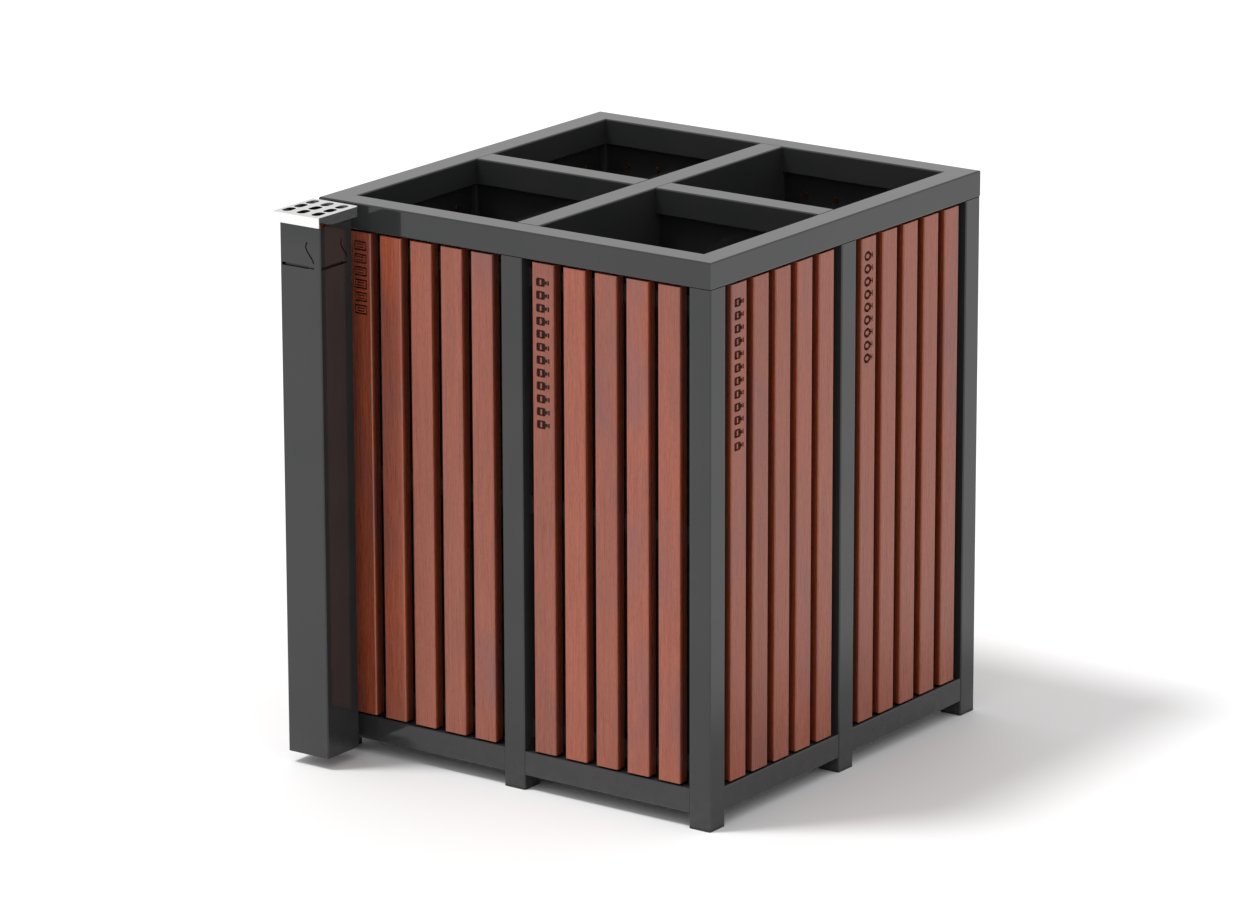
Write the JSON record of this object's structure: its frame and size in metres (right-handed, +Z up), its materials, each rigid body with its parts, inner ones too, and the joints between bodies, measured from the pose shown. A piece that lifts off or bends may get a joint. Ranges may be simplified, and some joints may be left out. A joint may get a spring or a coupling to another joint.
{
  "type": "litter bin",
  "caption": "Square recycling bin for streets: steel frame, upright timber slats, open sorting cells with lift-out liners and bails, and a stand-off ash column.",
  "frame": {"origin": "on the floor under the centre foot, at the middle of the square plan", "axes": "+Z up; front face and ash column towards -Y; +X to the right of the front"},
  "size_m": [0.752, 0.863, 0.904],
  "materials": {
    "anthracite_paint": "smooth satin-gloss powder coat, anthracite",
    "stained_wood": "planed softwood with translucent mahogany stain",
    "galvanised_steel": "galvanised sheet",
    "bright_wire": "zinc-plated wire",
    "stainless_steel": "bright stainless sheet",
    "black_plastic": "moulded polyethylene",
    "yellow_zinc": "yellow-passivated zinc"
  },
  "bodies": {
    "bin": {"ash_bolts": "galvanised_steel", "ash_column": "anthracite_paint", "ash_column_floor": "anthracite_paint", "ash_nuts": "galvanised_steel", "ash_spacers": "anthracite_paint", "bottom_rail_back": "anthracite_paint", "bottom_rail_front": "anthracite_paint", "bottom_rail_left": "anthracite_paint", "bottom_rail_right": "anthracite_paint", "centre_post": "anthracite_paint", "corner_post_back_left": "anthracite_paint", "corner_post_back_right": "anthracite_paint", "corner_post_front_left": "anthracite_paint", "corner_post_front_right": "anthracite_paint", "cross_rails_deep": "anthracite_paint", "cross_rails_wide": "anthracite_paint", "cross_tube_left": "anthracite_paint", "cross_tube_right": "anthracite_paint", "floor_panel_back_left": "anthracite_paint", "floor_panel_back_right": "anthracite_paint", "floor_panel_front_left": "anthracite_paint", "floor_panel_front_right": "anthracite_paint", "foot_caps": "black_plastic", "lining_back": "anthracite_paint", "lining_front": "anthracite_paint", "lining_left": "anthracite_paint", "lining_right": "anthracite_paint", "long_divider": "anthracite_paint", "short_divider_left": "anthracite_paint", "short_divider_right": "anthracite_paint", "side_post_back": "anthracite_paint", "side_post_front": "anthracite_paint", "side_post_left": "anthracite_paint", "side_post_right": "anthracite_paint", "slat_battens": "anthracite_paint", "slat_screws": "yellow_zinc", "slats_back_left": "stained_wood", "slats_back_right": "stained_wood", "slats_front_left": "stained_wood", "slats_front_right": "stained_wood", "slats_left_left": "stained_wood", "slats_left_right": "stained_wood", "slats_right_left": "stained_wood", "slats_right_right": "stained_wood", "spine_beam": "anthracite_paint", "top_rail_back": "anthracite_paint", "top_rail_front": "anthracite_paint", "top_rail_left": "anthracite_paint", "top_rail_right": "anthracite_paint"},
    "liner_front_right": {"liner_front_right": "galvanised_steel"},
    "bail_front_right": {"bail_front_right": "bright_wire"},
    "liner_back_right": {"liner_back_right": "galvanised_steel"},
    "bail_back_right": {"bail_back_right": "bright_wire"},
    "liner_back_left": {"liner_back_left": "galvanised_steel"},
    "bail_back_left": {"bail_back_left": "bright_wire"},
    "liner_front_left": {"liner_front_left": "galvanised_steel"},
    "bail_front_left": {"bail_front_left": "bright_wire"},
    "ash_cap": {"ash_cap": "stainless_steel"},
    "ash_bucket": {"ash_bucket": "galvanised_steel"}
  },
  "joints": [
    {"name": "liner_front_right_lift", "type": "slide", "parent": "bin", "child": "liner_front_right", "axis": [0, 0, 1], "range_m": [0, 0.86]},
    {"name": "bail_front_right_swing", "type": "hinge", "parent": "liner_front_right", "child": "bail_front_right", "pos_m": [0.17675, -0.17675, 0.7836], "axis": [-1, 0, 0], "range_deg": [0, 180]},
    {"name": "liner_back_right_lift", "type": "slide", "parent": "bin", "child": "liner_back_right", "axis": [0, 0, 1], "range_m": [0, 0.86]},
    {"name": "bail_back_right_swing", "type": "hinge", "parent": "liner_back_right", "child": "bail_back_right", "pos_m": [0.17675, 0.17675, 0.7836], "axis": [0, -1, 0], "range_deg": [0, 180]},
    {"name": "liner_back_left_lift", "type": "slide", "parent": "bin", "child": "liner_back_left", "axis": [0, 0, 1], "range_m": [0, 0.86]},
    {"name": "bail_back_left_swing", "type": "hinge", "parent": "liner_back_left", "child": "bail_back_left", "pos_m": [-0.17675, 0.17675, 0.7836], "axis": [1, 0, 0], "range_deg": [0, 180]},
    {"name": "liner_front_left_lift", "type": "slide", "parent": "bin", "child": "liner_front_left", "axis": [0, 0, 1], "range_m": [0, 0.86]},
    {"name": "bail_front_left_swing", "type": "hinge", "parent": "liner_front_left", "child": "bail_front_left", "pos_m": [-0.17675, -0.17675, 0.7836], "axis": [0, 1, 0], "range_deg": [0, 180]},
    {"name": "ash_cap_lift", "type": "slide", "parent": "bin", "child": "ash_cap", "axis": [0, 0, 1], "range_m": [0, 0.36]},
    {"name": "ash_bucket_pull_down", "type": "slide", "parent": "ash_cap", "child": "ash_bucket", "axis": [0, 0, -1], "range_m": [0, 0.34]}
  ]
}
